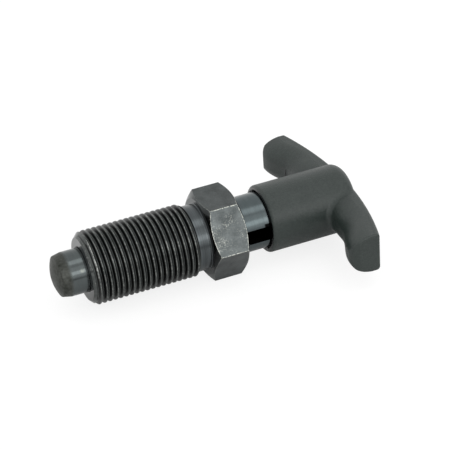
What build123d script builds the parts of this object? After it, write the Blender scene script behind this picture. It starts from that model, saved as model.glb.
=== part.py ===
from build123d import *
import math
import os

os.makedirs("parts", exist_ok=True)

# Lock-out indexing plunger with a T-handle, lying on a flat of its hexagon.
# Millimetres. X runs along the axis from the locking pin to the handle, the origin is the
# centre of the hexagon's front face, +Z is up and the handle's wings point along +Y and -Y.

# Guide body, outside
thread_diameter = 19.9
thread_length = 29.7
thread_end_chamfer = 1.45
thread_run_out = 0.9
groove_diameter = 18.0
groove_length = 3.3
hexagon_across_flats = 21.8
hexagon_length = 9.9
hexagon_face_diameter = 20.9
hexagon_chamfer_angle = 29.0
hexagon_corner_allowance = 2.2
neck_diameter = 15.2
neck_length = 18.6
neck_end_chamfer = 0.5

# Slot across the neck, which guides the cross pin and lets it park on the neck's end
slot_width = 4.2
slot_setback = 0.9

# Locking pin with its pull rod, and the bores that they run in
pin_diameter = 12.0
pin_projection = 8.4
pin_guide_length = 19.0
nose_taper_length = 2.4
nose_taper_diameter = 11.0
nose_dome_height = 1.4
nose_edge_round = 0.5
pin_shoulder_chamfer = 0.4
rod_diameter = 8.0
rod_end_chamfer = 0.6
running_clearance = 0.05
rod_clearance = 0.1
bore_mouth_chamfer = 0.3

# Spring chamber
spring_length = 20.0
spring_wire = 1.3
spring_coils = 6.5
spring_seat_gap = 0.02

# Stroke of the pin, which lifts the cross pin clear of the neck
pull_stroke = 10.0

# Cross pin
cross_pin_diameter = 4.0
cross_pin_end_gap = 0.3
cross_pin_end_chamfer = 0.4
cross_pin_clear_height = 1.0
cross_pin_fit = 0.01

# Handle hub
hub_diameter = 18.6
hub_mouth_lip = 1.0
hub_rear_land = 0.5
hub_bore_clearance = 0.3
hub_bore_lead = 0.4
hub_rear_wall = 4.5
hub_visible_neck = 7.5
neck_stop_gap = 0.1

# Handle wings
wing_span = 58.6
wing_height = 11.2
wing_rear_bow = 4.4
wing_rear_step = 0.1
wing_root_thickness = 8.7
grip_sections = 16
grip_overrun = 1.0
grip_taper = 0.8
grip_flat = 2.5
grip_round_depth = 6.7
hook_length = 11.0
hook_end_gap = 2.3
hook_depth = 2.9
nose_radius = 3.2
nose_crossing = 0.1
grip_crossing = 0.05
wing_rear_round = 1.0
wing_end_round = 0.5
wing_root_fillet = 1.5

# Steel bush moulded into the handle
bush_diameter = 12.0
bush_length = 10.0
bush_flange_thickness = 1.5
bush_flange_gap = 0.1
bush_groove_width = 1.6
bush_groove_depth = 0.7
bush_fit = 0.02
bush_edge_chamfer = 0.3
rod_end_gap = 0.4

# Stations along the axis
thread_end = -groove_length
thread_face = thread_end - thread_length
neck_start = hexagon_length
neck_end = neck_start + neck_length
mouth_face = neck_start + hub_visible_neck
bush_face = neck_end + neck_stop_gap
bush_end = bush_face + bush_length
hub_rear = bush_end + hub_rear_wall
rod_end = bush_end - rod_end_gap
pin_tip = thread_face - pin_projection
dome_edge = pin_tip + nose_dome_height
pin_edge = dome_edge + nose_taper_length
pin_shoulder = thread_face + pin_guide_length
spring_front = pin_shoulder + spring_seat_gap
spring_rear = spring_front + spring_length
chamber_end = spring_rear + spring_seat_gap
cross_pin_place = neck_end + cross_pin_clear_height + cross_pin_diameter / 2 - pull_stroke
wing_rear = hub_rear - wing_rear_step
wing_front = wing_rear - wing_root_thickness

# Radii that several pieces share
pin_bore_radius = pin_diameter / 2 + running_clearance
rod_bore_radius = rod_diameter / 2 + rod_clearance
hub_bore_radius = neck_diameter / 2 + hub_bore_clearance
thread_radius = thread_diameter / 2
groove_radius = groove_diameter / 2
neck_radius = neck_diameter / 2
hub_radius = hub_diameter / 2
rod_radius = rod_diameter / 2
bush_radius = bush_diameter / 2
bush_bore_radius = rod_radius + bush_fit
half_span = wing_span / 2
hook_start = half_span - hook_end_gap - hook_length
tip_rear = wing_rear - wing_rear_bow
wing_middle_rear = wing_rear - wing_rear_bow / 4
hub_rear_round = hub_radius - wing_height / 2 - hub_rear_land
bar_rear = wing_rear + wing_height
nose_x = wing_front - grip_taper - hook_depth + nose_radius - nose_crossing
nose_y = half_span - nose_radius + nose_crossing
grip_round_height = (wing_height - grip_flat) / 2 + grip_crossing


def grip_at(reach):
    """Front of the wing at this distance from the axis: a slight taper, then the hook."""
    tapered = wing_front - grip_taper * reach / half_span
    share = min(max((reach - hook_start) / hook_length, 0), 1)
    return tapered - hook_depth * share**2 * (3 - 2 * share)


def edges_near_station(part, station, radius):
    """Round edges about the X axis with this station and radius."""
    found = part.edges().filter_by(GeomType.CIRCLE)
    found = found.filter_by(lambda edge: abs(edge.arc_center.X - station) < 0.01)
    return found.filter_by(lambda edge: abs(edge.radius - radius) < 0.01)


def on_hub(edge):
    """True for an edge that lies on the hub's outside, its rounded rear included."""
    place = edge @ 0.5
    past = min(max(place.X - hub_rear + hub_rear_round, 0), hub_rear_round)
    outside = hub_radius - hub_rear_round + math.sqrt(hub_rear_round**2 - past**2)
    return mouth_face + hub_mouth_lip < place.X and abs(math.hypot(place.Y, place.Z) - outside) < 0.01


# Guide body: hexagon first, its corners turned off by the chamfer at both ends
with BuildPart() as guide_body:
    with BuildSketch(Plane.YZ) as hexagon_section:
        RegularPolygon(radius=hexagon_across_flats / 2, side_count=6, major_radius=False)
    extrude(amount=hexagon_length)
    corner_radius = hexagon_across_flats / 2 + hexagon_corner_allowance
    corner_rise = corner_radius - hexagon_face_diameter / 2
    chamfer_depth = corner_rise * math.tan(math.radians(hexagon_chamfer_angle))
    with BuildSketch(Plane.XY) as turned_hexagon:
        with BuildLine():
            Polyline(
                (0, 0),
                (0, hexagon_face_diameter / 2),
                (chamfer_depth, corner_radius),
                (hexagon_length - chamfer_depth, corner_radius),
                (hexagon_length, hexagon_face_diameter / 2),
                (hexagon_length, 0),
                close=True,
            )
        make_face()
    revolve(axis=Axis.X, mode=Mode.INTERSECT)
    # Thread at its crest diameter, relief groove and neck
    with BuildSketch(Plane.XY) as turned_profile:
        with BuildLine():
            Polyline(
                (thread_face, 0),
                (thread_face, thread_radius - thread_end_chamfer),
                (thread_face + thread_end_chamfer, thread_radius),
                (thread_end - thread_run_out, thread_radius),
                (thread_end, groove_radius),
                (0, groove_radius),
                (0, 0),
                close=True,
            )
        make_face()
        with BuildLine():
            Polyline(
                (neck_start, 0),
                (neck_start, neck_radius),
                (neck_end - neck_end_chamfer, neck_radius),
                (neck_end, neck_radius - neck_end_chamfer),
                (neck_end, 0),
                close=True,
            )
        make_face()
    revolve(axis=Axis.X)
    # Guide bore and spring chamber, then the rod's bore through the neck
    with BuildSketch(Plane.XY) as bore_profile:
        with BuildLine():
            Polyline(
                (thread_face, 0),
                (thread_face, pin_bore_radius + bore_mouth_chamfer),
                (thread_face + bore_mouth_chamfer, pin_bore_radius),
                (chamber_end, pin_bore_radius),
                (chamber_end, rod_bore_radius),
                (neck_end, rod_bore_radius),
                (neck_end, 0),
                close=True,
            )
        make_face()
    revolve(axis=Axis.X, mode=Mode.SUBTRACT)
    # Slot milled in from the neck's end, right through along Y
    slot_length = neck_end - neck_start - slot_setback
    with BuildSketch(Plane.XZ) as slot_outline:
        with Locations(((neck_start + slot_setback + neck_end) / 2, 0)):
            Rectangle(slot_length, slot_width)
    extrude(amount=neck_diameter, both=True, mode=Mode.SUBTRACT)
guide_body.part.label = "guide_body"

# Locking pin: domed nose, ground shank and the thinner pull rod behind the shoulder
with BuildPart() as locking_pin:
    with BuildSketch(Plane.XY) as pin_profile:
        with BuildLine():
            dome = RadiusArc(
                (pin_tip, 0),
                (dome_edge, nose_taper_diameter / 2),
                (nose_taper_diameter**2 / 4 + nose_dome_height**2) / (2 * nose_dome_height),
            )
            Polyline(
                dome @ 1,
                (pin_edge, pin_diameter / 2),
                (pin_shoulder - pin_shoulder_chamfer, pin_diameter / 2),
                (pin_shoulder, pin_diameter / 2 - pin_shoulder_chamfer),
                (pin_shoulder, rod_radius),
                (rod_end - rod_end_chamfer, rod_radius),
                (rod_end, rod_radius - rod_end_chamfer),
                (rod_end, 0),
                dome @ 0,
            )
        make_face()
        nose_edge = pin_profile.vertices().filter_by_position(Axis.X, dome_edge - 0.01, dome_edge + 0.01)
        fillet(nose_edge, nose_edge_round)
    revolve(axis=Axis.X)
    with BuildSketch(Plane.XZ) as cross_hole:
        with Locations((cross_pin_place, 0)):
            Circle(cross_pin_diameter / 2 + cross_pin_fit)
    extrude(amount=rod_diameter, both=True, mode=Mode.SUBTRACT)
locking_pin.part.label = "locking_pin"

# Compression spring with ground ends, coiled round the rod in the chamber
coil_radius = (pin_bore_radius + rod_radius) / 2
with BuildPart() as compression_spring:
    with BuildLine() as coil_path:
        Helix(
            pitch=(spring_length + spring_wire) / spring_coils,
            height=spring_length + spring_wire,
            radius=coil_radius,
            center=(spring_front - spring_wire / 2, 0, 0),
            direction=(1, 0, 0),
        )
    with BuildSketch(Plane(origin=coil_path.line @ 0, z_dir=coil_path.line % 0)) as wire_section:
        Circle(spring_wire / 2)
    sweep(is_frenet=True)
    with BuildSketch(Plane.YZ.offset(spring_front)) as ground_ends:
        Circle(pin_bore_radius)
    extrude(amount=spring_length, mode=Mode.INTERSECT)
compression_spring.part.label = "compression_spring"

# Cross pin: a plain dowel through the rod, guided by the slot
with BuildPart() as cross_pin:
    cross_pin_length = 2 * (hub_bore_radius - cross_pin_end_gap)
    with BuildSketch(Plane.XZ.offset(-cross_pin_length / 2)) as cross_pin_section:
        with Locations((cross_pin_place, 0)):
            Circle(cross_pin_diameter / 2)
    extrude(amount=cross_pin_length)
    chamfer(cross_pin.edges().filter_by(GeomType.CIRCLE), cross_pin_end_chamfer)
cross_pin.part.label = "cross_pin"

# Bush: its flange stops on the neck, its grooves hold it in the moulding
with BuildPart() as handle_bush:
    flange_radius = hub_bore_radius - bush_flange_gap
    bush_body = bush_length - bush_flange_thickness
    with BuildSketch(Plane.YZ.offset(bush_face)) as flange_section:
        Circle(flange_radius)
    extrude(amount=bush_flange_thickness)
    with BuildSketch(Plane.YZ.offset(bush_face + bush_flange_thickness)) as bush_section:
        Circle(bush_radius)
    extrude(amount=bush_body)
    chamfer(edges_near_station(handle_bush, bush_end, bush_radius), bush_edge_chamfer)
    for share in (1 / 3, 2 / 3):
        groove_middle = bush_face + bush_flange_thickness + bush_body * share
        with BuildSketch(Plane.YZ.offset(groove_middle - bush_groove_width / 2)) as groove_ring:
            Circle(bush_radius)
            Circle(bush_radius - bush_groove_depth, mode=Mode.SUBTRACT)
        extrude(amount=bush_groove_width, mode=Mode.SUBTRACT)
    with BuildSketch(Plane.YZ.offset(bush_face)) as bush_bore:
        Circle(bush_bore_radius)
    extrude(amount=bush_length, mode=Mode.SUBTRACT)
handle_bush.part.label = "handle_bush"

# Bar of the grip: round-fronted sections along the hooked line, lofted past the tip
with BuildPart() as grip_bar:
    for station in range(grip_sections):
        reach = (half_span + grip_overrun) * station / (grip_sections - 1)
        front = grip_at(reach)
        with BuildSketch(Plane(origin=(front, reach, 0), x_dir=(0, 0, 1), z_dir=(0, 1, 0))):
            with BuildLine():
                upper_round = EllipticalCenterArc(
                    (grip_flat / 2, grip_round_depth),
                    grip_round_height,
                    grip_round_depth,
                    start_angle=-90,
                    arc_size=90,
                )
                lower_round = EllipticalCenterArc(
                    (-grip_flat / 2, grip_round_depth),
                    grip_round_height,
                    grip_round_depth,
                    start_angle=180,
                    arc_size=90,
                )
                Line(lower_round @ 1, upper_round @ 0)
                Polyline(
                    upper_round @ 1,
                    ((upper_round @ 1).X, bar_rear - front),
                    ((lower_round @ 0).X, bar_rear - front),
                    lower_round @ 0,
                )
            make_face()
    loft()
grip_bar.part.label = "grip_bar"

# One wing of the handle: a plate with a bowed rear, shaped in front by the bar of the grip
with BuildPart() as wing:
    with BuildSketch(Plane.XY) as wing_outline:
        with BuildLine():
            rear_bow = ThreePointArc(
                (tip_rear, half_span),
                (wing_middle_rear, half_span / 2),
                (wing_rear, 0),
            )
            Polyline(rear_bow @ 1, (mouth_face, 0), (mouth_face, half_span), rear_bow @ 0)
        make_face()
    extrude(amount=wing_height / 2, both=True)
    rear_edges = wing.faces().sort_by(Axis.X)[-1].edges().filter_by(GeomType.CIRCLE)
    fillet(rear_edges, wing_rear_round)
    add(grip_bar.part, mode=Mode.INTERSECT)
    # Nose of the hook, rounded in plan
    with BuildSketch(Plane.XY) as nose_corner:
        with BuildLine():
            nose = CenterArc((nose_x, nose_y), nose_radius, 180, -90)
            Polyline(nose @ 1, (mouth_face, (nose @ 1).Y), (mouth_face, (nose @ 0).Y), nose @ 0)
        make_face()
    extrude(amount=wing_height, both=True, mode=Mode.SUBTRACT)
    fillet(wing.faces().sort_by(Axis.Y)[-1].edges(), wing_end_round)
wing.part.label = "wing"

# T-handle: hub with its two blended wings, bored for the neck and the bush
with BuildPart() as t_handle:
    with BuildSketch(Plane(origin=(mouth_face, 0, 0), x_dir=(0, 0, -1), z_dir=(1, 0, 0))) as hub_section:
        Circle(hub_radius)
    extrude(amount=hub_rear - mouth_face)
    fillet(edges_near_station(t_handle, hub_rear, hub_radius), hub_rear_round)
    fillet(edges_near_station(t_handle, mouth_face, hub_radius), hub_mouth_lip)
    add(wing.part)
    add(mirror(wing.part, about=Plane.XZ, mode=Mode.PRIVATE))
    seam = t_handle.edges().filter_by(lambda edge: on_hub(edge) and abs(edge.center().Y) > 1)
    seam = seam.filter_by(lambda edge: abs(edge.center().Z) < wing_height / 2 + 0.01)
    fillet(seam, wing_root_fillet)
    with BuildSketch(Plane.XY) as handle_bore_profile:
        with BuildLine():
            Polyline(
                (mouth_face, 0),
                (mouth_face, hub_bore_radius + hub_bore_lead),
                (mouth_face + hub_bore_lead, hub_bore_radius),
                (bush_face + bush_flange_thickness, hub_bore_radius),
                (bush_face + bush_flange_thickness, bush_bore_radius),
                (bush_end, bush_bore_radius),
                (bush_end, 0),
                close=True,
            )
        make_face()
    revolve(axis=Axis.X, mode=Mode.SUBTRACT)
    # The moulding fills the bush's grooves and meets its chamfered end
    add(handle_bush.part, mode=Mode.SUBTRACT)
t_handle.part.label = "t_handle"

pieces = [guide_body, locking_pin, compression_spring, cross_pin, handle_bush, t_handle]
for piece in pieces:
    export_step(piece.part, f"parts/{piece.part.label}.step")
print("pin tip", pin_tip, "mouth", mouth_face, "neck end", neck_end, "hub rear", hub_rear)
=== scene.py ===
import math

import bpy
import numpy as np
from mathutils import Matrix, Vector


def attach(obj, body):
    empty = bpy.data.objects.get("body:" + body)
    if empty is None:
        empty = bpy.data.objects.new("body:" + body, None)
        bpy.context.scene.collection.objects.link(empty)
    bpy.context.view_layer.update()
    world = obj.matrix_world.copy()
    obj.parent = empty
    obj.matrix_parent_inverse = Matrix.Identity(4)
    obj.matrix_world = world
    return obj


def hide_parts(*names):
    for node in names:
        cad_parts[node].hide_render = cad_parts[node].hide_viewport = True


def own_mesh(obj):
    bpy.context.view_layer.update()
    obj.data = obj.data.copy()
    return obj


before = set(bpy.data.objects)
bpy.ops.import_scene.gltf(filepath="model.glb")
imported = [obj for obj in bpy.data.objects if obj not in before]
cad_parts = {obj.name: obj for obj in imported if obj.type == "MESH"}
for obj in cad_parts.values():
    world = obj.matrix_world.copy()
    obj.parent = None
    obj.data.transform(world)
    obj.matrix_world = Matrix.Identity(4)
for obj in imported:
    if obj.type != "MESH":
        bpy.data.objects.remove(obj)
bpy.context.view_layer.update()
mm = 0.001
fullTurn = 2 * math.pi
print("frame loaded")

# Camera, placed by fitting the hexagon's corners, the thread and the handle's tips
cameraSetup = {
    "place": (-142.825, -394.332, 270.651),
    "right": (0.91798254, -0.39181717, -0.0615415),
    "up": (0.25929585, 0.47546112, 0.84065593),
    "lens": 150.62,
}
cameraData = bpy.data.cameras.new("camera")
cameraData.lens = cameraSetup["lens"]
cameraData.sensor_width = 36
cameraData.clip_start = 0.01
cameraData.clip_end = 20
camera = bpy.data.objects.new("camera", cameraData)
rightAxis = Vector(cameraSetup["right"])
upAxis = Vector(cameraSetup["up"])
turn = Matrix((rightAxis, upAxis, rightAxis.cross(upAxis))).transposed().to_4x4()
camera.matrix_world = Matrix.Translation(Vector(cameraSetup["place"]) * mm) @ turn
bpy.context.scene.collection.objects.link(camera)
bpy.context.scene.camera = camera
bpy.context.scene.view_settings.view_transform = "Standard"


# Mesh helpers: a surface is a grid of points, rows by columns, worked out as whole arrays
def gridFaces(rows, columns, closeRows=False, closeColumns=False, first=0):
    # Each cell joins rows i and i+1 with columns j and j+1; a closed direction wraps round
    i = np.arange(rows if closeRows else rows - 1)
    j = np.arange(columns if closeColumns else columns - 1)
    i, j = np.meshgrid(i, j, indexing="ij")
    up = (i + 1) % rows
    over = (j + 1) % columns
    corners = [i * columns + j, up * columns + j, up * columns + over, i * columns + over]
    return np.stack(corners, -1).reshape(-1, 4) + first


def around(steps):
    # The angles of a turned surface's columns
    return np.arange(steps) / steps * fullTurn


def turned(profile, angles):
    # A profile of (x, r) pairs turned about the X axis: y = r cos(angle), z = r sin(angle)
    x = np.repeat(profile[:, :1], len(angles), 1)
    r = profile[:, 1:2]
    return np.stack([x, r * np.cos(angles), r * np.sin(angles)], -1).reshape(-1, 3)


def setLayer(mesh, name, domain, values):
    layer = mesh.attributes.new(name, "FLOAT", domain)
    layer.data.foreach_set("value", values.astype(np.float32).ravel())


def addPiece(name, points, faces, body, slot, sharpDegrees=32, replaced=(), inner=None, **layers):
    # Points are in millimetres; inner is a value for each face and every other layer one for each
    # point: wear at the edges, oil where black oil stays, facing on the faces turned smooth
    mesh = bpy.data.meshes.new(name)
    mesh.from_pydata((points * mm).tolist(), [], [f.tolist() for f in faces])
    if inner is not None:
        setLayer(mesh, "inner", "FACE", inner)
    for layer, values in layers.items():
        setLayer(mesh, layer, "POINT", values)
    mesh.validate()
    mesh.shade_smooth()
    mesh.set_sharp_from_angle(angle=math.radians(sharpDegrees))
    piece = bpy.data.objects.new(name, mesh)
    bpy.context.scene.collection.objects.link(piece)
    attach(piece, body)
    if replaced:
        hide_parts(*replaced)
    print("made", name, len(faces), "faces")
    return piece


# The side of the guide body that painted shade darkens, by the angle round its axis
paintedShadeSide = {"side": math.radians(158), "spread": math.radians(58)}


def awayFrom(angle, side):
    # The shorter way round from an angle to a side
    return np.abs((angle - side + math.pi) % fullTurn - math.pi)


def sideShadeMask(angle):
    # Painted shade darkens one side of the turned faces: exp(-(angle from the side / spread)^4)
    return np.exp(-(awayFrom(angle, paintedShadeSide["side"]) / paintedShadeSide["spread"]) ** 4)


def wornAndLitSide(angle, p):
    # Edge rubbing and a painted highlight are strongest on one side, towards the front lamps: least
    # + (1 - least) exp(-(angle from the side / spread)^2)
    away = awayFrom(angle, p["wornSide"]) / p["wornSpread"]
    return p["leastWearAndSheen"] + (1 - p["leastWearAndSheen"]) * np.exp(-away ** 2)


# Thread sleeve of the guide body, M20 x 1.5, with its end face, bore and rear ring
thread = {
    "start": -33.0,
    "end": -3.3,
    "pitch": 1.5,
    "shift": 0.85,  # puts the crests where the photograph has them
    "crestRadius": 9.95,
    "depth": 0.92,
    "endChamfer": 1.45,
    "endSlope": 1.1,
    "edgeInset": 0.05,
    "boreRadius": 6.05,
    "boreChamfer": 0.3,
    "steps": 168,
    "wornSide": math.radians(132),
    "wornSpread": math.radians(38),
    "leastWearAndSheen": 0.15,
    "rimWearAndSheen": 1.6,
    "rimReach": 0.2,
    "rimDepth": 0.35,
    "chamferWearAndSheen": 0.4,
    "faceWear": 0.3,
}
# One ridge along the pitch: crest flat, flank, rounded root, flank
ridge = np.array([
    # phase, drop, rubbing on the crests, painted shade on the flanks, most on the one facing the
    # pin
    [0.00, 0.02, 0.9, 0.00],
    [0.03, 0.00, 0.5, 0.00],
    [0.08, 0.00, 0.1, 0.00],
    [0.13, 0.00, 0.5, 0.00],
    [0.16, 0.03, 0.9, 0.00],
    [0.22, 0.20, 0.0, 0.10],
    [0.33, 0.55, 0.0, 0.15],
    [0.43, 0.86, 0.0, 0.00],
    [0.49, 0.97, 0.0, 0.00],
    [0.55, 1.00, 0.0, 0.00],
    [0.61, 0.97, 0.0, 0.10],
    [0.67, 0.86, 0.0, 0.75],
    [0.77, 0.55, 0.0, 1.00],
    [0.88, 0.20, 0.0, 0.75],
    [0.94, 0.08, 0.2, 0.20],
])


def threadSleeve(t):
    # Rows follow the helix: x grows by one pitch per turn and the radius follows the ridge.
    # Rows past either end are drawn in to it, where all the points of a column fall together.
    perTurn = len(ridge)
    turns = int(math.ceil((t["end"] - t["start"]) / t["pitch"])) + 2
    columns = t["steps"]
    rows = perTurn * turns + 1
    k = np.arange(rows + perTurn)
    phase, drop, wear, paintedShade = ridge[k % perTurn].T[:, :, None]
    share = (np.arange(columns) / columns)[None, :]
    angle = around(columns)
    x = t["start"] + t["shift"] + t["pitch"] * (phase + (k // perTurn)[:, None] + share - 2)
    low = x <= t["start"] + 1e-9
    high = x >= t["end"] - 1e-9
    x = np.clip(x, t["start"], t["end"])
    r = t["crestRadius"] - t["depth"] * drop + 0 * x
    fromStart = t["crestRadius"] - t["endChamfer"] + (x - t["start"])
    fromEnd = t["crestRadius"] - t["depth"] + (t["end"] - x) * t["endSlope"]
    cut = np.minimum(fromStart, fromEnd)
    chamfer = fromStart < r
    # Rubbing with a painted glint dies away from the chamfer's rim: exp(-distance / reach), only
    # near the crests; the chamfer is painted lighter as a painted reflection
    rim = np.exp(-np.abs(x - t["start"] - t["endChamfer"]) / t["rimReach"])
    rim = rim * (r > t["crestRadius"] - t["rimDepth"]) * wornAndLitSide(angle, t)
    endWearAndSheen = np.maximum(t["rimWearAndSheen"] * rim, t["chamferWearAndSheen"] * chamfer)
    wear = np.maximum(np.where(cut < r, 0.0, wear), endWearAndSheen)
    paintedShade = np.where(chamfer, 0.0, paintedShade)
    r = np.minimum(r, cut)
    points = np.stack([x, r * np.cos(angle), r * np.sin(angle)], -1)
    index = np.arange((rows + perTurn) * columns).reshape(-1, columns)
    index = np.where(low, index[0], index)
    index = np.where(high, index[-1], index)
    # The last column joins the first one a turn further on
    near = index[:rows]
    far = np.concatenate([index[:rows, 1:], index[perTurn:, :1]], 1)
    lower = np.stack([near[:-1], near[1:], far[1:]], -1).reshape(-1, 3)
    upper = np.stack([near[:-1], far[1:], far[:-1]], -1).reshape(-1, 3)
    faces = np.concatenate([lower, upper])
    a, b, c = faces.T
    faces = faces[(a != b) & (b != c) & (a != c)]
    # End face, bore mouth and bore, front to rear
    edge = t["crestRadius"] - t["endChamfer"]
    inside = np.array([
        [t["start"], edge - t["edgeInset"]],
        [t["start"], (edge + t["boreRadius"]) / 2],
        [t["start"], t["boreRadius"] + t["boreChamfer"]],
        [t["start"] + t["boreChamfer"], t["boreRadius"]],
        [t["end"], t["boreRadius"]],
    ])
    faceStrips = 2
    first = index.size
    strips = gridFaces(len(inside), columns, closeColumns=True, first=first)[:, ::-1]
    j = np.arange(columns)
    n = (j + 1) % columns
    last = first + (len(inside) - 1) * columns
    front = np.stack([index[0][j], index[0][n], first + n, first + j], -1)
    rear = np.stack([last + j, last + n, index[-1][n], index[-1][j]], -1)
    points = np.concatenate([points.reshape(-1, 3), turned(inside, angle)])
    faceWear = np.zeros(len(inside) * columns)
    faceWear[:columns] = t["faceWear"]
    # The end face, the bore mouth and the bore get painted shade on one side
    layers = {
        "wear": np.concatenate([wear.ravel(), faceWear]),
        "paintedShade": np.concatenate([paintedShade.ravel(), np.tile(sideShadeMask(angle), len(inside))]),
        "facing": np.concatenate([chamfer.ravel(), np.ones(len(faceWear))]),
    }
    # Only the points that a face uses are kept
    quads = np.concatenate([front, strips, rear])
    used = np.unique(np.concatenate([faces.ravel(), quads.ravel()]))
    renumber = np.zeros(len(points), int)
    renumber[used] = np.arange(len(used))
    layers = {name: values[used] for name, values in layers.items()}
    inner = np.zeros(len(faces) + len(quads))
    inner[len(faces) + columns * (1 + faceStrips):] = 1
    return points[used], list(renumber[faces]) + list(renumber[quads]), inner, layers


points, faces, inner, layers = threadSleeve(thread)
threadPiece = addPiece(
    "thread_sleeve", points, faces, "guide", "blackened_steel", 40, ["guide_body"], inner, **layers,
)

# Relief groove between the thread and the hexagon, with a rounded corner at its rear
groove = {
    "start": -3.3,
    "end": 0.0,
    "radius": 9.0,
    "cornerRadius": 0.2,
    "boreRadius": 6.05,
    "overlap": 0.05,  # how far it reaches into the hexagon
    "floorSteps": 12,
    "bendSteps": 6,
    "steps": 168,
}


def reliefGroove(g):
    # A cylinder whose rear end flares out on a quarter circle, turned about X
    bend = np.linspace(0, math.pi / 2, g["bendSteps"])[1:]
    corner = g["end"] - g["cornerRadius"]
    rear = g["end"] + g["overlap"]
    lip = g["radius"] + g["cornerRadius"]
    x = np.concatenate([
        np.linspace(g["start"], corner, g["floorSteps"]),
        corner + g["cornerRadius"] * np.sin(bend),
        [rear, rear, g["start"]],
    ])
    r = np.concatenate([
        np.full(g["floorSteps"], g["radius"]),
        g["radius"] + g["cornerRadius"] * (1 - np.cos(bend)),
        [lip, g["boreRadius"], g["boreRadius"]],
    ])
    faces = gridFaces(len(x), g["steps"], closeRows=True, closeColumns=True)
    # The last two rows are the bore's
    inner = np.repeat((np.arange(len(x)) >= len(x) - 2).astype(float), g["steps"])
    return turned(np.stack([x, r], -1), around(g["steps"])), faces, inner


points, faces, inner = reliefGroove(groove)
groovePiece = addPiece("relief_groove", points, faces, "guide", "blackened_steel", 40, inner=inner)

# Hexagon collar, chamfered at both ends
collar = {
    "length": 9.9,
    "acrossFlats": 21.8,
    "faceRadius": 10.45,
    "chamferSlope": math.tan(math.radians(29)),
    "boreRadius": 6.05,
    "chamberEnd": 6.04,
    "rodBore": 4.1,
    "wornSide": math.radians(152),
    "wornSpread": math.radians(50),
    "leastWearAndSheen": 0.3,
    "wearAndSheenReach": 0.17,
    "cornerWearAndSheen": 1.7,
    "rimWearAndSheen": 1.36,
    "flatWearAndSheen": 0.4,
    "coneWearAndSheen": 0.5,
    "coneShadeLoss": 0.45,
}


def hexagonCollar(c):
    # The radius at an angle is half the width over the cosine to the nearest flat, and the
    # chamfer begins where that radius passes the face's: x = (radius - face radius) * slope
    near = np.array([0.0, 0.005, 0.011, 0.02, 0.034, 0.055, 0.1, 0.17, 0.25, 0.34, 0.43])
    sector = np.concatenate([near, [math.pi / 6], math.pi / 3 - near[:0:-1]])
    angle = (np.arange(6)[:, None] * math.pi / 3 + sector[None, :]).ravel()
    toFlat = np.abs((angle % (math.pi / 3)) - math.pi / 6)
    radius = c["acrossFlats"] / 2 / np.cos(toFlat)
    depth = (radius - c["faceRadius"]) * c["chamferSlope"]
    flatLength = c["length"] - 2 * depth

    # Rows: front face, cone, flat, cone, rear face and bore
    face = np.array([9.0, 9.35, 9.8, 10.25])[:, None]
    cone = np.array([0.0, 0.1, 0.3, 0.6, 0.85])[:, None]
    half = np.array([0, 0.01, 0.022, 0.04, 0.08, 0.16, 0.3])
    flat = np.concatenate([half, [0.5, 0.7, 0.84, 0.92, 0.96, 0.978, 0.99, 1]])[:, None]
    rear = np.array([10.2, 9.4, 8.2, 7.0, c["rodBore"]])[:, None]
    bore = np.array([c["rodBore"], c["boreRadius"], c["boreRadius"]])[:, None]
    boreX = np.array([c["chamberEnd"], c["chamberEnd"], 0.0])[:, None]
    coneRadius = c["faceRadius"] + (radius - c["faceRadius"]) * cone

    def stack(*parts):
        return np.concatenate([np.broadcast_to(part, (len(part), len(angle))) for part in parts])

    x = stack(
        0 * face, depth * cone, depth + flatLength * flat,
        c["length"] - depth * cone[::-1], c["length"] + 0 * rear, boreX,
    )
    r = stack(face, coneRadius, radius + 0 * flat, coneRadius[::-1], rear, bore)

    # Rubbing with a painted highlight dies away from the corners and the rims: exp(-distance /
    # reach)
    wornAndLit = wornAndLitSide(angle, c)
    toCorner = radius * np.sin(math.pi / 6 - toFlat)
    toRim = np.minimum(flat, 1 - flat) * flatLength
    cornerWearAndSheen = c["cornerWearAndSheen"] * np.exp(-toCorner / c["wearAndSheenReach"]) * wornAndLit
    rimWearAndSheen = c["rimWearAndSheen"] * np.exp(-toRim / c["wearAndSheenReach"])
    flatWearAndSheen = np.maximum(cornerWearAndSheen, wornAndLit * np.maximum(rimWearAndSheen, c["flatWearAndSheen"]))
    coneWearAndSheen = cornerWearAndSheen * c["coneWearAndSheen"] + 0 * cone
    # Painted shade on one side of the front face and the front cone, fading towards the flats
    sideShade = sideShadeMask(angle)[None, :]
    coneShade = sideShade * (1 - c["coneShadeLoss"] * cone)
    layers = {
        "wear": stack(0 * face, coneWearAndSheen, flatWearAndSheen, coneWearAndSheen, 0 * rear, 0 * bore),
        "paintedShade": stack(sideShade + 0 * face, coneShade, 0 * flat, 0 * cone, 0 * rear, 0 * bore),
        "facing": stack(1 + 0 * face, 1 + 0 * cone, 0 * flat, 1 + 0 * cone, 1 + 0 * rear, 0 * bore),
    }
    points = np.stack([x, r * np.cos(angle), r * np.sin(angle)], -1).reshape(-1, 3)
    faces = gridFaces(len(x), len(angle), closeRows=True, closeColumns=True)
    inner = np.repeat((np.arange(len(x)) >= len(x) - len(bore) - 1).astype(float), len(angle))
    return points, faces, inner, layers


points, faces, inner, layers = hexagonCollar(collar)
collarPiece = addPiece(
    "hexagon_collar", points, faces, "guide", "blackened_steel", 18, inner=inner, **layers,
)

# Slotted neck: a short ring at its root and two prongs above and below the slot
neck = {
    "start": 9.9,
    "slotStart": 10.8,
    "end": 28.5,
    "radius": 7.68,
    "boreRadius": 4.1,
    "slotWidth": 4.2,
    "endChamfer": 0.5,
    "rootFillet": 0.3,
    "steps": 72,
    "rootSteps": 144,
}


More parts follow.
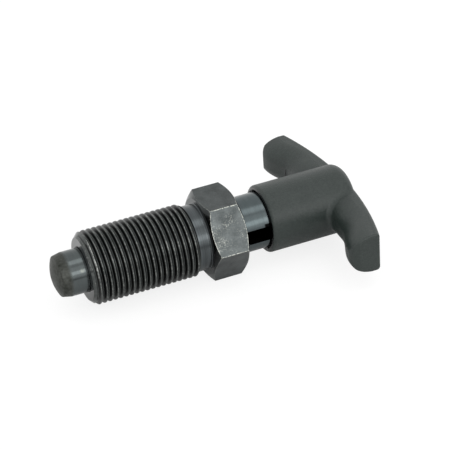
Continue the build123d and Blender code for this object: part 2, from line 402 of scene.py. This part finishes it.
def prong(n, side):
    # The section lies between two arcs, beyond half the slot's width, and is carried along X
    half = n["slotWidth"] / 2
    stations = np.linspace(n["slotStart"], n["end"] - n["endChamfer"], 9)
    stations = np.concatenate([stations, [n["end"]]])
    outerRadius = np.full(len(stations), n["radius"])
    outerRadius[-1] -= n["endChamfer"]
    share = np.linspace(0, 1, n["steps"])[None, :]
    start = np.arcsin(half / outerRadius)[:, None]
    outer = start + (math.pi - 2 * start) * share
    bore = math.asin(half / n["boreRadius"])
    bore = np.broadcast_to(bore + (math.pi - 2 * bore) * share[:, ::-1], outer.shape)
    outerRadius = outerRadius[:, None]
    y = np.concatenate([outerRadius * np.cos(outer), n["boreRadius"] * np.cos(bore)], 1)
    z = np.concatenate([outerRadius * np.sin(outer), n["boreRadius"] * np.sin(bore)], 1)
    x = np.broadcast_to(stations[:, None], y.shape)
    points = np.stack([x, y * side, z * side], -1).reshape(-1, 3)
    columns = 2 * n["steps"]
    faces = gridFaces(len(stations), columns, closeColumns=True)
    i = np.arange(n["steps"] - 1)
    front = np.stack([i, i + 1, columns - 2 - i, columns - 1 - i], -1)
    rear = front[:, ::-1] + (len(stations) - 1) * columns
    inner = np.tile((np.arange(columns) >= n["steps"] - 1).astype(float), len(stations) - 1)
    inner = np.concatenate([inner, np.ones(len(front)), np.zeros(len(rear))])
    return points, np.concatenate([faces, front, rear]), inner


def neckRoot(n):
    # A ring with a small fillet where it meets the hexagon's rear face
    fillet = n["rootFillet"]
    bend = np.linspace(0, math.pi / 2, 5)
    x = np.concatenate([
        n["start"] + fillet - fillet * np.cos(bend),
        [n["slotStart"], n["slotStart"], n["start"]],
    ])
    r = np.concatenate([
        n["radius"] + fillet - fillet * np.sin(bend),
        [n["radius"], n["boreRadius"], n["boreRadius"]],
    ])
    columns = n["rootSteps"]
    inner = np.repeat((np.arange(len(x)) >= len(bend)).astype(float), columns)
    faces = gridFaces(len(x), columns, closeRows=True, closeColumns=True)
    return turned(np.stack([x, r], -1), around(columns)), faces, inner


parts = [prong(neck, 1), prong(neck, -1), neckRoot(neck)]
offsets = np.cumsum([0] + [len(part[0]) for part in parts[:-1]])
points = np.concatenate([part[0] for part in parts])
faces = np.concatenate([part[1] + offset for part, offset in zip(parts, offsets)])
inner = np.concatenate([part[2] for part in parts])
neckPiece = addPiece("slotted_neck", points, faces, "guide", "blackened_steel", 35, inner=inner)
print("guide body surfaces done")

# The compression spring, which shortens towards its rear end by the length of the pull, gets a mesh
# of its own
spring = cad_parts["compression_spring"]
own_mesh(spring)

# Short moulding mark on the far wing's front face: a thin curved rib set into the surface
mark = {
    "y": 18.0,
    "low": -1.4,
    "high": 1.4,
    "width": 0.55,
    "rise": 0.06,
    "sink": 0.3,
    "bow": 0.35,
    "leastTaper": 0.05,
    "stations": 9,
    "rayStart": 20.0,
}


def mouldingMark(m, handle):
    # Each station stands on the wing where a ray along +X meets it. y bows out as 1 - (2t - 1)^2,
    # and the width narrows at both ends as the root of 1 - (2t - 1)^8
    t = np.linspace(0, 1, m["stations"])
    z = m["low"] + (m["high"] - m["low"]) * t
    y = m["y"] + m["bow"] * (1 - (2 * t - 1) ** 2)
    forward = Vector((1, 0, 0))
    starts = [Vector((m["rayStart"] * mm, b * mm, c * mm)) for b, c in zip(y, z)]
    hits = [handle.ray_cast(start, forward)[1].x / mm for start in starts]
    section = np.array([m["sink"], -m["rise"] / 2, -m["rise"], -m["rise"] / 2, m["sink"]])
    across = np.array([-0.5, -0.4, 0.0, 0.4, 0.5])
    taper = np.sqrt(np.clip(1 - (2 * t - 1) ** 8, m["leastTaper"], 1))[:, None]
    x = np.array(hits)[:, None] + section
    y = y[:, None] + m["width"] * taper * across
    points = np.stack([x, y, np.broadcast_to(z[:, None], x.shape)], -1).reshape(-1, 3)
    rim = np.arange(len(across))
    ends = [rim[::-1], rim + (len(t) - 1) * len(across)]
    return points, list(gridFaces(len(t), len(across), closeColumns=True)) + ends


points, faces = mouldingMark(mark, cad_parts["t_handle"])
markPiece = addPiece("moulding_mark", points, faces, "plunger", "handle_plastic")


# Node helpers
def feed(links, socket, value):
    # A number or a colour is set on the socket itself, and another socket is linked to it
    if isinstance(value, (int, float)):
        socket.default_value = value
    elif isinstance(value, tuple):
        socket.default_value = (*value, 1)
    else:
        links.new(value, socket)


def makeMath(nodes, links, operation, first, second=0.0):
    node = nodes.new("ShaderNodeMath")
    node.operation = operation
    feed(links, node.inputs[0], first)
    feed(links, node.inputs[1], second)
    return node.outputs[0]


def mixValue(nodes, links, factor, first, second):
    node = nodes.new("ShaderNodeMix")
    node.data_type = "FLOAT"
    for name, value in (("Factor", factor), ("A", first), ("B", second)):
        feed(links, node.inputs[name], value)
    return node.outputs[0]


def mixColor(nodes, links, factor, first, second):
    node = nodes.new("ShaderNodeMix")
    node.data_type = "RGBA"
    colors = [socket for socket in node.inputs if socket.type == "RGBA"]
    feed(links, colors[0], first)
    feed(links, colors[1], second)
    feed(links, node.inputs["Factor"], factor)
    return [socket for socket in node.outputs if socket.type == "RGBA"][0]


def ramp(nodes, links, value, low, high):
    # 0 at low and 1 at high, held past both
    node = nodes.new("ShaderNodeMapRange")
    node.inputs["From Min"].default_value = low
    node.inputs["From Max"].default_value = high
    links.new(value, node.inputs["Value"])
    return node.outputs["Result"]


def stretchNoise(nodes, links, vector, scale, detail, roughness=0.6, reach=0.22):
    # Noise lies close to 0.5, so that the values within reach of it are spread over 0 to 1
    noise = nodes.new("ShaderNodeTexNoise")
    noise.inputs["Detail"].default_value = detail
    noise.inputs["Roughness"].default_value = roughness
    links.new(vector, noise.inputs["Vector"])
    feed(links, noise.inputs["Scale"], scale)
    return ramp(nodes, links, noise.outputs["Fac"], 0.5 - reach, 0.5 + reach)


def objectPlace(nodes):
    return nodes.new("ShaderNodeTexCoord").outputs["Object"]


def placeAxes(nodes, links):
    split = nodes.new("ShaderNodeSeparateXYZ")
    links.new(objectPlace(nodes), split.inputs[0])
    return split.outputs


def axisRadius(nodes, links, place):
    squares = [makeMath(nodes, links, "MULTIPLY", place[axis], place[axis]) for axis in "YZ"]
    return makeMath(nodes, links, "SQRT", makeMath(nodes, links, "ADD", *squares))


def addLayer(nodes, name):
    layer = nodes.new("ShaderNodeAttribute")
    layer.attribute_name = name
    return layer.outputs["Fac"]


# Effects that several finishes share, one node group each
def startGroup(name, **inputs):
    group = bpy.data.node_groups.new(name, "ShaderNodeTree")
    kind = "NodeSocketFloat"
    for socket, value in inputs.items():
        entry = group.interface.new_socket(socket, in_out="INPUT", socket_type=kind)
        entry.default_value = value
    group.interface.new_socket("Value", in_out="OUTPUT", socket_type=kind)
    start = group.nodes.new("NodeGroupInput").outputs
    end = group.nodes.new("NodeGroupOutput").inputs["Value"]
    return group, group.nodes, group.links, start, end


patchScale = 190  # broad patches, a few millimetres across


def mottleGroup():
    # Soft clouds and fine grain in object space, blended by Grain, over broad patches, by Broad
    inputs = {"Scale": 500, "Fine": 2500, "Grain": 0.5, "Broad": 0.2}
    group, nodes, links, start, end = startGroup("mottle", **inputs)
    place = objectPlace(nodes)
    clouds = stretchNoise(nodes, links, place, start["Scale"], 4)
    grain = stretchNoise(nodes, links, place, start["Fine"], 3, 0.7)
    patches = stretchNoise(nodes, links, place, patchScale, 2)
    blend = mixValue(nodes, links, start["Grain"], clouds, grain)
    links.new(mixValue(nodes, links, start["Broad"], blend, patches), end)
    return group


def turningGroup():
    # Tool marks round the X axis: noise that is fine along X and along the radius, slow round it
    group, nodes, links, start, end = startGroup("turning", Scale=6000, Around=40)
    place = placeAxes(nodes, links)
    across = makeMath(nodes, links, "ADD", place["X"], axisRadius(nodes, links, place))
    line = nodes.new("ShaderNodeCombineXYZ")
    stretched = {"X": (across, "Scale"), "Y": (place["Y"], "Around"), "Z": (place["Z"], "Around")}
    for axis, (value, scale) in stretched.items():
        links.new(makeMath(nodes, links, "MULTIPLY", value, start[scale]), line.inputs[axis])
    links.new(stretchNoise(nodes, links, line.outputs[0], 1, 3, 0.5, reach=0.2), end)
    return group


wearAndSheenBreak = {
    "patchScale": 260,
    "least": 0.6,
    "most": 1.3,
    "dotStart": 0.24,
    "dotFull": 0.62,
}


def wearAndSheenGroup(w):
    # The mesh's layer of edge rubbing and painted highlight, broken up by fine noise so that it
    # shows as dots and dashes
    group, nodes, links, start, end = startGroup("edgeWearAndSheen", Scale=2200)
    place = objectPlace(nodes)
    dots = stretchNoise(nodes, links, place, start["Scale"], 3, 0.65)
    patches = stretchNoise(nodes, links, place, w["patchScale"], 2)
    patches = mixValue(nodes, links, patches, w["least"], w["most"])
    wear = makeMath(nodes, links, "MULTIPLY", addLayer(nodes, "wear"), dots)
    wear = makeMath(nodes, links, "MULTIPLY", wear, patches)
    links.new(ramp(nodes, links, wear, w["dotStart"], w["dotFull"]), end)
    return group


mottle = mottleGroup()
turning = turningGroup()
edgeWearAndSheen = wearAndSheenGroup(wearAndSheenBreak)


def addGroup(nodes, group, **values):
    node = nodes.new("ShaderNodeGroup")
    node.node_tree = group
    for name, value in values.items():
        node.inputs[name].default_value = value
    return node.outputs["Value"]


def addClouds(nodes, p):
    values = {"Scale": p["clouds"], "Fine": p["fine"], "Grain": p["grain"], "Broad": p["broad"]}
    return addGroup(nodes, mottle, **values)


def startMaterial(name):
    material = bpy.data.materials.new(name)
    material.use_nodes = True
    nodes = material.node_tree.nodes
    nodes.clear()
    output = nodes.new("ShaderNodeOutputMaterial")
    shader = nodes.new("ShaderNodeBsdfPrincipled")
    material.node_tree.links.new(shader.outputs["BSDF"], output.inputs["Surface"])
    return material, nodes, material.node_tree.links, shader


def dress(piece, material):
    piece.data.materials.clear()
    piece.data.materials.append(material)


def addBump(nodes, links, shader, height, distance):
    bump = nodes.new("ShaderNodeBump")
    bump.inputs["Strength"].default_value = 1.0
    bump.inputs["Distance"].default_value = distance
    links.new(height, bump.inputs["Height"])
    links.new(bump.outputs["Normal"], shader.inputs["Normal"])


# Blackened steel, one finish for each way the bar was worked
steel = {
    "dark": (0.062, 0.070, 0.069),
    "light": (0.112, 0.126, 0.125),
    # The light colour of rubbed edges, which is also a painted highlight
    "worn": (0.40, 0.42, 0.41),
    # Painted shade: near black on faces inside the bore and the slot
    "insideShade": (0.004, 0.004, 0.004),
    # Painted shade: near black on the thread flanks and on one side of the turned faces
    "paintedShade": (0.006, 0.006, 0.006),
    "roughLow": 0.24,
    "roughHigh": 0.36,
    "faceRough": 0.22,  # share of that roughness on the faces turned smooth
    "clouds": 420,
    "fine": 2200,
    "grain": 0.5,
    "broad": 0.2,
    "marks": 0.0,
    "markScale": 5000,
    "bump": 0.000004,
    "wearScale": 2200,
    "smudge": None,
}


def smudgeMask(nodes, links, box, soft=0.00008):
    # A soft-edged box: 1 where X, Y and Z all lie within their ranges
    place = placeAxes(nodes, links)
    mask = 1.0
    for axis, (low, high) in box.items():
        half = (high - low) / 2
        away = makeMath(nodes, links, "SUBTRACT", place[axis], (low + high) / 2)
        away = makeMath(nodes, links, "ABSOLUTE", away)
        side = ramp(nodes, links, away, half + soft, half - soft)
        mask = makeMath(nodes, links, "MULTIPLY", side, mask)
    return mask


def steelMaterial(name, **changes):
    s = dict(steel, **changes)
    material, nodes, links, shader = startMaterial(name)
    clouds = addClouds(nodes, s)
    marks = addGroup(nodes, turning, Scale=s["markScale"])
    pattern = mixValue(nodes, links, s["marks"], clouds, marks)
    worn = addGroup(nodes, edgeWearAndSheen, Scale=s["wearScale"])
    insideShade, paintedShade, facing = (addLayer(nodes, layer) for layer in ("inner", "paintedShade", "facing"))
    color = mixColor(nodes, links, pattern, s["dark"], s["light"])
    # Painted shade and light in the colour: near black on the flanks, on one side of the turned
    # faces, inside and in the patch by the handle's mouth; light on rubbed edges as a painted
    # highlight
    color = mixColor(nodes, links, paintedShade, color, s["paintedShade"])
    color = mixColor(nodes, links, worn, color, s["worn"])
    color = mixColor(nodes, links, insideShade, color, s["insideShade"])
    if s["smudge"]:
        smudge = smudgeMask(nodes, links, s["smudge"])
        color = mixColor(nodes, links, smudge, color, s["insideShade"])
    links.new(color, shader.inputs["Base Color"])
    rough = mixValue(nodes, links, pattern, s["roughHigh"], s["roughLow"])
    smoother = mixValue(nodes, links, facing, 1.0, s["faceRough"])
    links.new(makeMath(nodes, links, "MULTIPLY", rough, smoother), shader.inputs["Roughness"])
    addBump(nodes, links, shader, pattern, s["bump"])
    shader.inputs["Metallic"].default_value = 1
    return material


dress(threadPiece, steelMaterial(
    "thread_steel",
    dark=(0.036, 0.040, 0.038), light=(0.120, 0.128, 0.125), worn=(0.42, 0.43, 0.41),
    clouds=1100, fine=4200, roughLow=0.24, roughHigh=0.38, marks=0.25, wearScale=2300,
))
dress(groovePiece, steelMaterial(
    "groove_steel",
    dark=(0.050, 0.056, 0.058), light=(0.112, 0.125, 0.130), roughLow=0.17, roughHigh=0.27,
    marks=0.85, markScale=5200, bump=0.0000006,
))
dress(collarPiece, steelMaterial(
    "hexagon_steel",
    dark=(0.034, 0.039, 0.039), light=(0.122, 0.134, 0.134), worn=(0.42, 0.43, 0.39),
    clouds=420, fine=2400, broad=0.4, roughLow=0.26, roughHigh=0.38, wearScale=2600,
))
# Painted shade: a black patch on the neck above the slot's end, beside the handle's mouth
dress(neckPiece, steelMaterial(
    "neck_steel",
    dark=(0.072, 0.088, 0.092), light=(0.106, 0.126, 0.130), roughLow=0.17, roughHigh=0.23,
    clouds=260, fine=1200, marks=0.45, markScale=5200, bump=0.0000005,
    smudge={"X": (0.0159, 0.0182), "Y": (-0.02, 0.0), "Z": (0.0010, 0.0029)},
))

# Locking pin: a matt tumbled nose and a ground shank; the pull rod behind is painted near black as
# shade in the slot
pin = {
    "nose": (0.012, 0.014, 0.010),
    "noseLight": (0.124, 0.129, 0.120),
    "shank": (0.078, 0.089, 0.090),
    "shankLight": (0.106, 0.120, 0.120),
    "brightSpot": (0.24, 0.25, 0.22),
    "brightSpotPlace": (-0.0345, -0.00509, 0.00318),
    "brightSpotRadius": 0.0008,
    "brightSpotCore": 0.0001,
    "rod": (0.008, 0.008, 0.008),
    "noseEnd": -0.0376,
    "noseBlend": 0.0005,
    "rodStart": -0.0139,
    "rodBlend": 0.0001,
    "noseRough": 0.46,
    "shankRough": 0.13,
    "roughSpread": 0.06,
    "clouds": 300,
    "fine": 1500,
    "grain": 0.4,
    "broad": 0.1,
    "marks": 0.5,
    "markScale": 5200,
    "bump": 0.0000008,
}


def pinMaterial(name, p):
    material, nodes, links, shader = startMaterial(name)
    x = placeAxes(nodes, links)["X"]
    blend = p["noseBlend"]
    toShank = ramp(nodes, links, x, p["noseEnd"] - blend, p["noseEnd"] + blend)
    blend = p["rodBlend"]
    toRod = ramp(nodes, links, x, p["rodStart"] - blend, p["rodStart"] + blend)
    clouds = addClouds(nodes, p)
    marks = addGroup(nodes, turning, Scale=p["markScale"])
    marks = mixValue(nodes, links, p["marks"], clouds, marks)
    nose = mixColor(nodes, links, clouds, p["nose"], p["noseLight"])
    shank = mixColor(nodes, links, marks, p["shank"], p["shankLight"])
    color = mixColor(nodes, links, toShank, nose, shank)
    # A bright spot on the shank fades with the distance from its middle
    away = nodes.new("ShaderNodeVectorMath")
    away.operation = "DISTANCE"
    away.inputs[1].default_value = p["brightSpotPlace"]
    links.new(objectPlace(nodes), away.inputs[0])
    brightSpot = ramp(nodes, links, away.outputs["Value"], p["brightSpotRadius"], p["brightSpotCore"])
    brightSpot = makeMath(nodes, links, "MULTIPLY", brightSpot, clouds)
    color = mixColor(nodes, links, brightSpot, color, p["brightSpot"])
    color = mixColor(nodes, links, toRod, color, p["rod"])
    links.new(color, shader.inputs["Base Color"])
    rough = mixValue(nodes, links, toShank, p["noseRough"], p["shankRough"])
    cloudy = makeMath(nodes, links, "MULTIPLY", clouds, p["roughSpread"])
    links.new(makeMath(nodes, links, "ADD", rough, cloudy), shader.inputs["Roughness"])
    addBump(nodes, links, shader, mixValue(nodes, links, toShank, clouds, marks), p["bump"])
    shader.inputs["Metallic"].default_value = 1
    return material


dress(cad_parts["locking_pin"], pinMaterial("pin_steel_ground", pin))
# The cross pin in the slot is near black: painted shade
black = {"dark": (0.02, 0.02, 0.02), "light": (0.03, 0.03, 0.03)}
dress(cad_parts["cross_pin"], steelMaterial("cross_pin_steel", **black))
dress(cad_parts["handle_bush"], steelMaterial("bush_steel", marks=0.5))
dress(spring, steelMaterial("spring_steel", clouds=900, roughLow=0.2, roughHigh=0.3))

# Handle: black moulded plastic with a fine eroded grain
plastic = {
    "dark": (0.005, 0.012, 0.010),
    "light": (0.040, 0.052, 0.047),
    "lip": (0.002, 0.002, 0.002),
    "lipEnd": 0.0181,
    "lipRadius": 0.0088,
    "rough": 0.36,
    "roughSpread": 0.1,
    "lipRough": 0.14,
    "waveScale": 1300,
    "waveGrain": 0.6,
    "pitScale": 1800,
    "pitGrain": 0.5,
    "grainScale": 3000,
    "grainHeight": 0.00006,
    "ior": 1.5,
}


def plasticMaterial(name, p):
    material, nodes, links, shader = startMaterial(name)
    fine = p["grainScale"]
    tone = addGroup(nodes, mottle, Scale=p["waveScale"], Fine=fine, Grain=p["waveGrain"])
    grain = addGroup(nodes, mottle, Scale=p["pitScale"], Fine=fine, Grain=p["pitGrain"])
    # The lip round the hub's mouth is trimmed smooth, and painted near black as shade in the mouth:
    # x below lipEnd and the distance from the axis below lipRadius
    place = placeAxes(nodes, links)
    radius = axisRadius(nodes, links, place)
    front = makeMath(nodes, links, "LESS_THAN", place["X"], p["lipEnd"])
    within = makeMath(nodes, links, "LESS_THAN", radius, p["lipRadius"])
    lip = makeMath(nodes, links, "MULTIPLY", front, within)
    color = mixColor(nodes, links, tone, p["dark"], p["light"])
    links.new(mixColor(nodes, links, lip, color, p["lip"]), shader.inputs["Base Color"])
    spread = makeMath(nodes, links, "MULTIPLY", tone, p["roughSpread"])
    rough = makeMath(nodes, links, "ADD", p["rough"], spread)
    links.new(mixValue(nodes, links, lip, rough, p["lipRough"]), shader.inputs["Roughness"])
    addBump(nodes, links, shader, grain, p["grainHeight"])
    shader.inputs["IOR"].default_value = p["ior"]
    return material


dress(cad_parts["t_handle"], plasticMaterial("handle_plastic_grain", plastic))
# The moulding mark is near black: painted shade along it
darker = {"dark": (0.001, 0.001, 0.001), "light": (0.003, 0.003, 0.003), "rough": 0.6}
dress(markPiece, plasticMaterial("mark_plastic", dict(plastic, **darker)))
print("finishes done")

# Floor: white paper as reflections see it, up to its front edge; for the camera its own colour is
# dim and a glow lifts it to white, which leaves only a faint shadow
paper = {
    "size": 3.0,
    "height": -0.0109,
    "seen": (0.27, 0.27, 0.27),
    "mirrored": (0.92, 0.92, 0.92),
    "beyond": (0.42, 0.42, 0.42),
    "lift": 0.81,
    "mirrorLift": 0.10,
    "frontEdge": -0.085,
    "edgeBlend": 0.006,
}
floorMesh = bpy.data.meshes.new("floor")
reach = paper["size"]
corners = [(-reach, -reach), (reach, -reach), (reach, reach), (-reach, reach)]
floorMesh.from_pydata([(x, y, paper["height"]) for x, y in corners], [], [(0, 1, 2, 3)])
floor = bpy.data.objects.new("floor", floorMesh)
bpy.context.scene.collection.objects.link(floor)
floorMaterial = bpy.data.materials.new("floor_paper")
floorMaterial.use_nodes = True
nodes = floorMaterial.node_tree.nodes
links = floorMaterial.node_tree.links
nodes.clear()
output = nodes.new("ShaderNodeOutputMaterial")
sheet = nodes.new("ShaderNodeBsdfDiffuse")
glow = nodes.new("ShaderNodeEmission")
glow.inputs["Color"].default_value = (1, 1, 1, 1)
path = nodes.new("ShaderNodeLightPath").outputs
edge = paper["frontEdge"]
blend = paper["edgeBlend"]
behind = ramp(nodes, links, placeAxes(nodes, links)["Y"], edge - blend, edge + blend)
mirrored = mixColor(nodes, links, behind, paper["beyond"], paper["mirrored"])
color = mixColor(nodes, links, path["Is Glossy Ray"], paper["seen"], mirrored)
links.new(color, sheet.inputs["Color"])
lift = makeMath(nodes, links, "MULTIPLY", path["Is Camera Ray"], paper["lift"])
mirrorLift = makeMath(nodes, links, "MULTIPLY", path["Is Glossy Ray"], paper["mirrorLift"])
links.new(makeMath(nodes, links, "ADD", lift, mirrorLift), glow.inputs["Strength"])
both = nodes.new("ShaderNodeAddShader")
links.new(sheet.outputs[0], both.inputs[0])
links.new(glow.outputs[0], both.inputs[1])
links.new(both.outputs[0], output.inputs["Surface"])
floorMesh.materials.append(floorMaterial)

# World: white to the camera and in reflections, and the plain level that the room gives
room = {"level": 0.8}
world = bpy.data.worlds.new("studio")
bpy.context.scene.world = world
world.use_nodes = True
nodes = world.node_tree.nodes
links = world.node_tree.links
nodes.clear()
output = nodes.new("ShaderNodeOutputWorld")
sky = nodes.new("ShaderNodeBackground")
sky.inputs["Color"].default_value = (1, 1, 1, 1)
path = nodes.new("ShaderNodeLightPath").outputs
seen = makeMath(nodes, links, "MAXIMUM", path["Is Camera Ray"], path["Is Glossy Ray"])
links.new(mixValue(nodes, links, seen, room["level"], 1.0), sky.inputs["Strength"])
links.new(sky.outputs[0], output.inputs["Surface"])

# Softboxes, aimed at the part: a long low one in front with a dim panel round it, and one
# overhead. Angles in degrees, lengths in metres, power in watts
lamps = {
    "front_softbox": {
        "azimuth": -75, "elevation": 26, "away": 0.9, "wide": 0.9, "tall": 0.26, "power": 1.1,
    },
    "front_panel": {
        "azimuth": -75, "elevation": 30, "away": 0.95, "wide": 1.2, "tall": 0.85, "power": 1.2,
    },
    "top_softbox": {
        "azimuth": -30, "elevation": 72, "away": 0.9, "wide": 0.34, "tall": 0.34, "power": 0.4,
    },
}
for name, lamp in lamps.items():
    data = bpy.data.lights.new(name, "AREA")
    data.shape = "RECTANGLE"
    data.energy = lamp["power"]
    data.size = lamp["wide"]
    data.size_y = lamp["tall"]
    light = bpy.data.objects.new(name, data)
    azimuth = math.radians(lamp["azimuth"])
    elevation = math.radians(lamp["elevation"])
    flat = math.cos(elevation)
    toward = Vector((flat * math.cos(azimuth), flat * math.sin(azimuth), math.sin(elevation)))
    light.location = toward * lamp["away"]
    light.rotation_euler = (-toward).to_track_quat("-Z", "Y").to_euler()
    light.visible_camera = False
    bpy.context.scene.collection.objects.link(light)
print("stage done")
